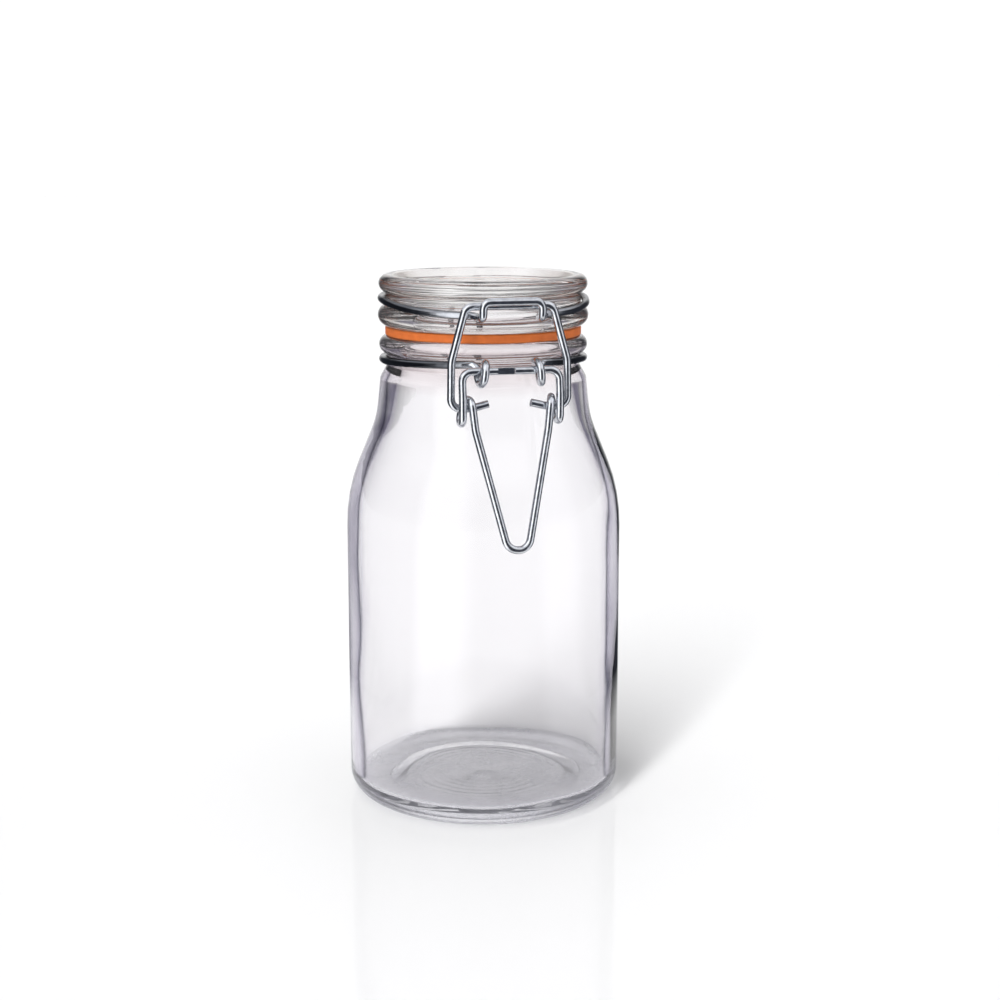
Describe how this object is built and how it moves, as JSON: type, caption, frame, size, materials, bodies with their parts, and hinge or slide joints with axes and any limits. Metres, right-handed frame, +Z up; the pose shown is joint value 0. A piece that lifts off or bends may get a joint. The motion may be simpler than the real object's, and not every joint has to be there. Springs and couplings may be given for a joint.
{
  "type": "clip-top storage jar",
  "caption": "Clip-top storage jar: bottle-shaped glass body, hinged glass lid on a rubber ring, and a wire latch with an over-centre lever and a bail.",
  "frame": {"origin": "the point where the jar's axis meets the surface it stands on", "axes": "+Z is up along the jar's axis, the latch faces -Y and the lid's hinge is on +Y; every hinge axis lies along X"},
  "size_m": [0.08, 0.0835, 0.1536],
  "materials": {
    "jar_glass": "clear soda-lime glass, fire-polished",
    "lid_glass": "clear pressed glass, faintly wavy",
    "gasket_rubber": "matt orange natural rubber",
    "plated_wire": "bright zinc-plated drawn steel wire"
  },
  "bodies": {
    "jar": {"glass_jar": "jar_glass", "neck_band": "plated_wire"},
    "lid": {"glass_lid": "lid_glass", "lid_band": "plated_wire", "rubber_gasket": "gasket_rubber"},
    "lever": {"lever": "plated_wire"},
    "bail": {"bail": "plated_wire"}
  },
  "joints": [
    {"name": "lid_hinge", "type": "hinge", "parent": "jar", "child": "lid", "pos_m": [0, 0.0339, 0.1293], "axis": [-1, 0, 0], "range_deg": [0, 188]},
    {"name": "lever_pivot", "type": "hinge", "parent": "jar", "child": "lever", "pos_m": [0, -0.0335, 0.12965], "axis": [-1, 0, 0], "range_deg": [0, 100]},
    {"name": "bail_pivot", "type": "hinge", "parent": "lever", "child": "bail", "pos_m": [0, -0.032, 0.1194], "axis": [-1, 0, 0], "range_deg": [-71, 0]}
  ],
  "couplings": [
    {"joint": "bail_pivot", "follows": "lever_pivot", "ratio": -0.71}
  ]
}
